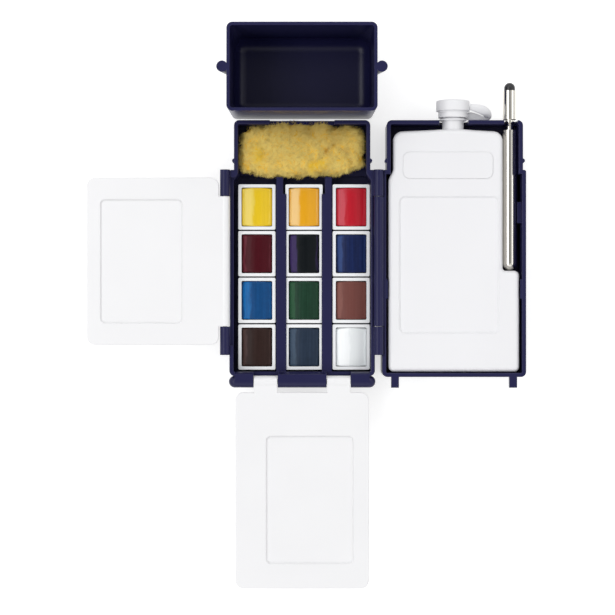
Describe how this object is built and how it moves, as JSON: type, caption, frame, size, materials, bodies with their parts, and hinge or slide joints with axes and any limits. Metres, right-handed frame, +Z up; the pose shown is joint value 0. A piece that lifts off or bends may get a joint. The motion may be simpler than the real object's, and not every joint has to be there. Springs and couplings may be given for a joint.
{
  "type": "watercolor field box",
  "caption": "Pocket paint box that unfolds to two hinged trays with half pans, sponge, flat water bottle and pocket brush, two hinged palettes, and a slide-on water cup.",
  "frame": {"origin": "Middle of the base tray's underside, on the surface that the opened box lies on.", "axes": "+X to the right, from the base tray towards the lid tray; +Y towards the trays' narrow end and the cup; +Z up out of the open trays."},
  "size_m": [0.1827, 0.2327, 0.04],
  "materials": {
    "tray_navy": "navy moulded styrene, satin gloss, fine moulding grain",
    "palette_white": "white moulded plastic, satin",
    "pan_white": "thin white moulded pans",
    "bottle_white": "milky blown polyethylene, soft sheen",
    "brush_nickel": "bright nickel plate",
    "plug_dark": "black moulded plug",
    "brush_hair": "brown brush hair",
    "sponge_yellow": "fluffy yellow sponge",
    "pin_steel": "drawn steel wire",
    "paint_yellow": "poured cake of watercolour, glossy where it has dried smooth",
    "paint_deep_yellow": "poured cake of watercolour, glossy where it has dried smooth",
    "paint_red": "poured cake of watercolour, glossy where it has dried smooth",
    "paint_crimson": "poured cake of watercolour, glossy where it has dried smooth",
    "paint_violet": "poured cake of watercolour, glossy where it has dried smooth",
    "paint_ultramarine": "poured cake of watercolour, glossy where it has dried smooth",
    "paint_blue": "poured cake of watercolour, glossy where it has dried smooth",
    "paint_green": "poured cake of watercolour, glossy where it has dried smooth",
    "paint_red_brown": "poured cake of watercolour, glossy where it has dried smooth",
    "paint_umber": "poured cake of watercolour, glossy where it has dried smooth",
    "paint_indigo": "poured cake of watercolour, glossy where it has dried smooth",
    "paint_white": "poured cake of watercolour, glossy where it has dried smooth"
  },
  "bodies": {
    "base": {"base_tray": "tray_navy", "left_hinge_pin": "pin_steel", "lid_hinge_pin": "pin_steel", "front_hinge_pin": "pin_steel", "pan_01": "pan_white", "paint_01_yellow": "paint_yellow", "pan_02": "pan_white", "paint_02_deep_yellow": "paint_deep_yellow", "pan_03": "pan_white", "paint_03_red": "paint_red", "pan_04": "pan_white", "paint_04_crimson": "paint_crimson", "pan_05": "pan_white", "paint_05_violet": "paint_violet", "pan_06": "pan_white", "paint_06_ultramarine": "paint_ultramarine", "pan_07": "pan_white", "paint_07_blue": "paint_blue", "pan_08": "pan_white", "paint_08_green": "paint_green", "pan_09": "pan_white", "paint_09_red_brown": "paint_red_brown", "pan_10": "pan_white", "paint_10_umber": "paint_umber", "pan_11": "pan_white", "paint_11_indigo": "paint_indigo", "pan_12": "pan_white", "paint_12_white": "paint_white"},
    "side_palette": {"side_palette": "palette_white"},
    "front_palette": {"front_palette": "palette_white"},
    "lid": {"lid_tray": "tray_navy"},
    "water_bottle": {"water_bottle": "bottle_white", "cap_strap": "bottle_white"},
    "bottle_cap": {"bottle_cap": "bottle_white"},
    "brush_sheath": {"brush_sheath": "brush_nickel"},
    "brush": {"brush_handle": "brush_nickel", "brush_end_plug": "plug_dark", "brush_ferrule": "brush_nickel", "brush_hair": "brush_hair"},
    "sponge": {"sponge": "sponge_yellow"},
    "water_cup": {"water_cup": "tray_navy"}
  },
  "joints": [
    {"name": "side_palette_hinge", "type": "hinge", "parent": "base", "child": "side_palette", "pos_m": [-0.0321, -0.00555, 0.01815], "axis": [0, 1, 0], "range_deg": [0, 180]},
    {"name": "front_palette_hinge", "type": "hinge", "parent": "base", "child": "front_palette", "pos_m": [0, -0.0557, 0.0155], "axis": [-1, 0, 0], "range_deg": [0, 180]},
    {"name": "lid_hinge", "type": "hinge", "parent": "base", "child": "lid", "pos_m": [0.0318, -0.00555, 0.01815], "axis": [0, -1, 0], "range_deg": [0, 180]},
    {"name": "cup_aside", "type": "slide", "parent": "base", "child": "water_cup", "axis": [0, 1, 0], "range_m": [0, 0.016]},
    {"name": "bottle_lift", "type": "slide", "parent": "lid", "child": "water_bottle", "axis": [0, 0, -1], "range_m": [-0.025, 0]},
    {"name": "cap_pull", "type": "slide", "parent": "water_bottle", "child": "bottle_cap", "axis": [0, -1, 0], "range_m": [-0.01, 0]},
    {"name": "sheath_lift", "type": "slide", "parent": "lid", "child": "brush_sheath", "axis": [0, 0, -1], "range_m": [-0.025, 0]},
    {"name": "brush_pull", "type": "slide", "parent": "brush_sheath", "child": "brush", "axis": [0, -1, 0], "range_m": [-0.032, 0]},
    {"name": "sponge_lift", "type": "slide", "parent": "base", "child": "sponge", "axis": [0, 0, -1], "range_m": [-0.02, 0]}
  ],
  "couplings": [
    {"joint": "cup_aside", "follows": "lid_hinge", "m_per_rad": 0.0050924}
  ]
}
